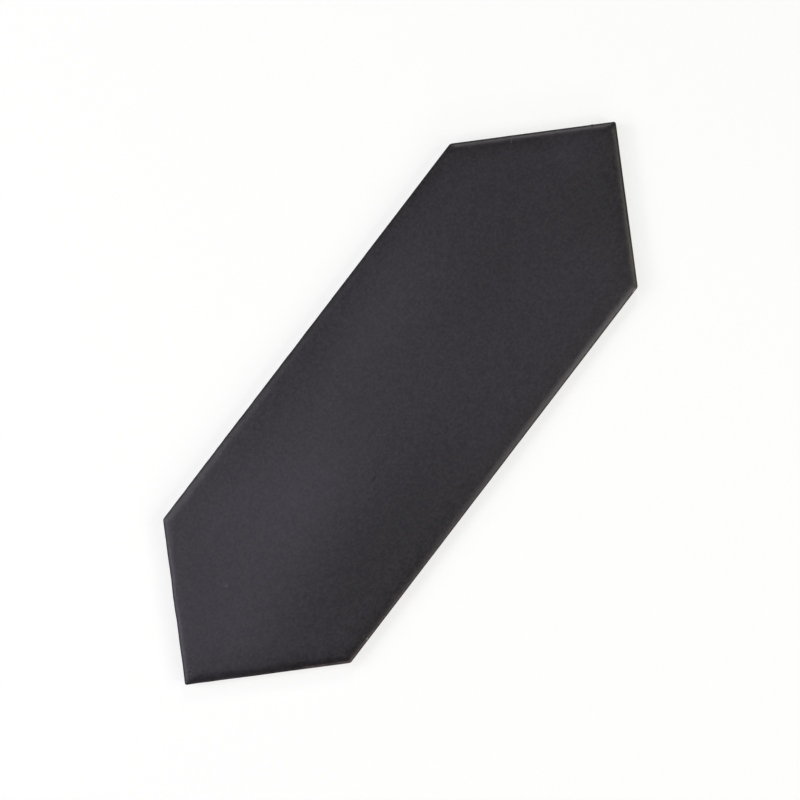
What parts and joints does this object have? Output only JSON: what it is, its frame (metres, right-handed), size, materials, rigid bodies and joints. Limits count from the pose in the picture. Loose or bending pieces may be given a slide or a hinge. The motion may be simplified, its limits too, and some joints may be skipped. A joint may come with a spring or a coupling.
{
  "type": "picket tile",
  "caption": "Elongated hexagonal picket wall tile, pressed in one piece, with a matt black glaze, softly cushioned edges, bare white sides and a keyed back.",
  "frame": {"origin": "middle of the keyed back, on the plane of its ribs and rim", "axes": "+X runs from point to point along the tile, +Y across its width, +Z out of the glazed face"},
  "size_m": [0.2992, 0.1, 0.008],
  "materials": {
    "glaze": "satin"
  },
  "bodies": {
    "root": {"picket_tile": "glaze"}
  },
  "joints": []
}
